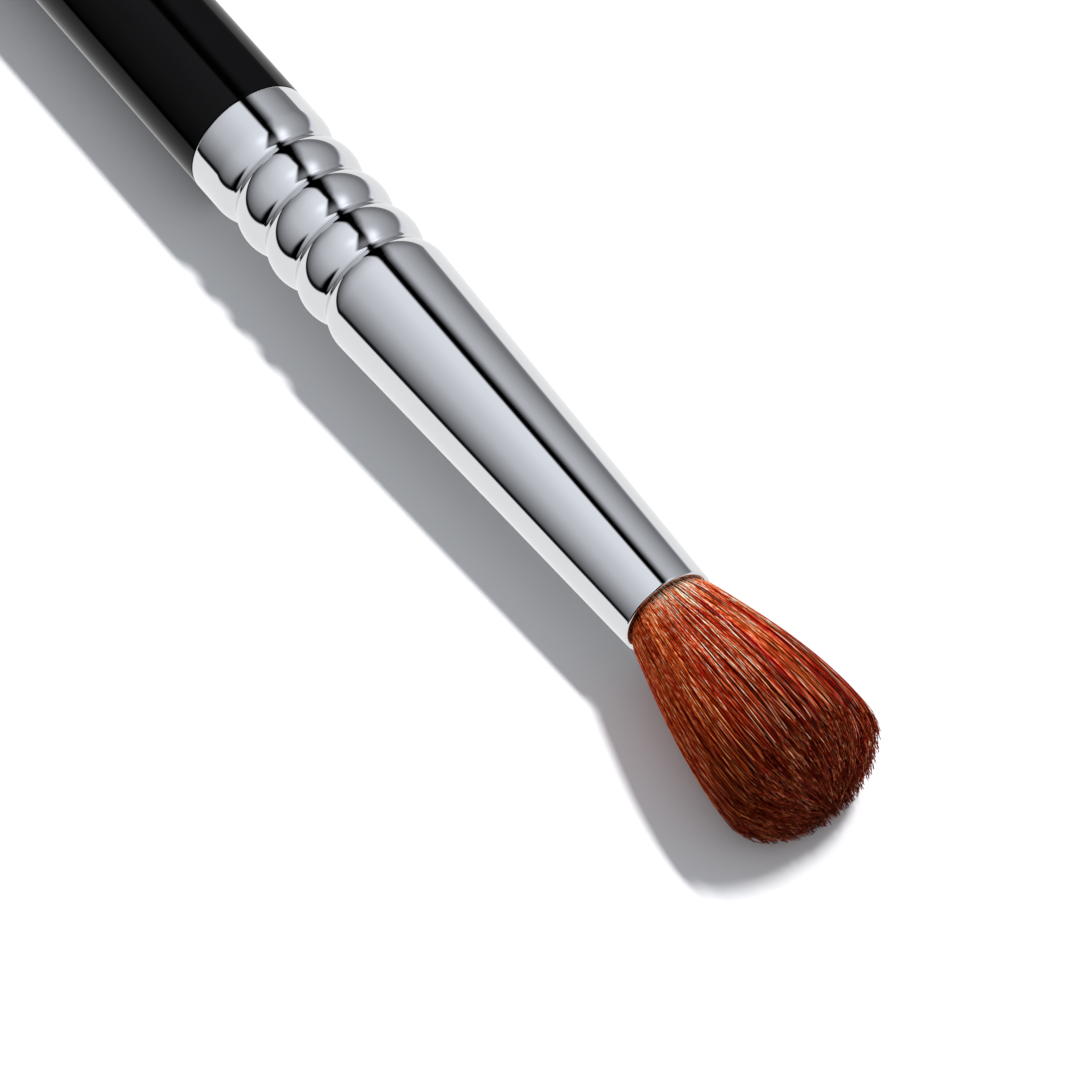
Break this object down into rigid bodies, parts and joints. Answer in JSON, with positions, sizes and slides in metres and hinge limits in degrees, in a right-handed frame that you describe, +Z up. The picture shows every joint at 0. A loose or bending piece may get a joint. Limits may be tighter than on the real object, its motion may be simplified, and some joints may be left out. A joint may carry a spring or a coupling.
{
  "type": "eyeshadow brush",
  "caption": "Slim make-up brush with a gloss black handle, a long bright ferrule with rolled beads, and a soft flared tuft for blending eyeshadow.",
  "frame": {"origin": "on the table, under the middle of the brush's length and width", "axes": "+X along the brush from the butt of the handle to the tip of the hair, +Y across it, +Z up from the table"},
  "size_m": [0.1822, 0.01, 0.009],
  "materials": {
    "handle_wood": "bare turned wood",
    "black_lacquer": "gloss",
    "bright_plating": "polished",
    "glue": "set glue",
    "hair": "soft fine hair",
    "thread": "twisted thread",
    "resin": "set resin"
  },
  "bodies": {
    "brush_stick": {"handle_core": "handle_wood", "lacquer_coat": "black_lacquer", "ferrule": "bright_plating", "tenon_glue": "glue", "hair_root": "hair", "binding_thread": "thread", "resin_plug": "resin"},
    "hair": {"bristle_head": "hair"}
  },
  "joints": [
    {"name": "hair_bend", "type": "hinge", "parent": "brush_stick", "child": "hair", "pos_m": [0.0753, 0, 0.00402], "axis": [0, 0, 1], "range_deg": [-30, 30], "stiffness_Nm_per_rad": 0.004, "deforming": ["bristle_head"]}
  ]
}
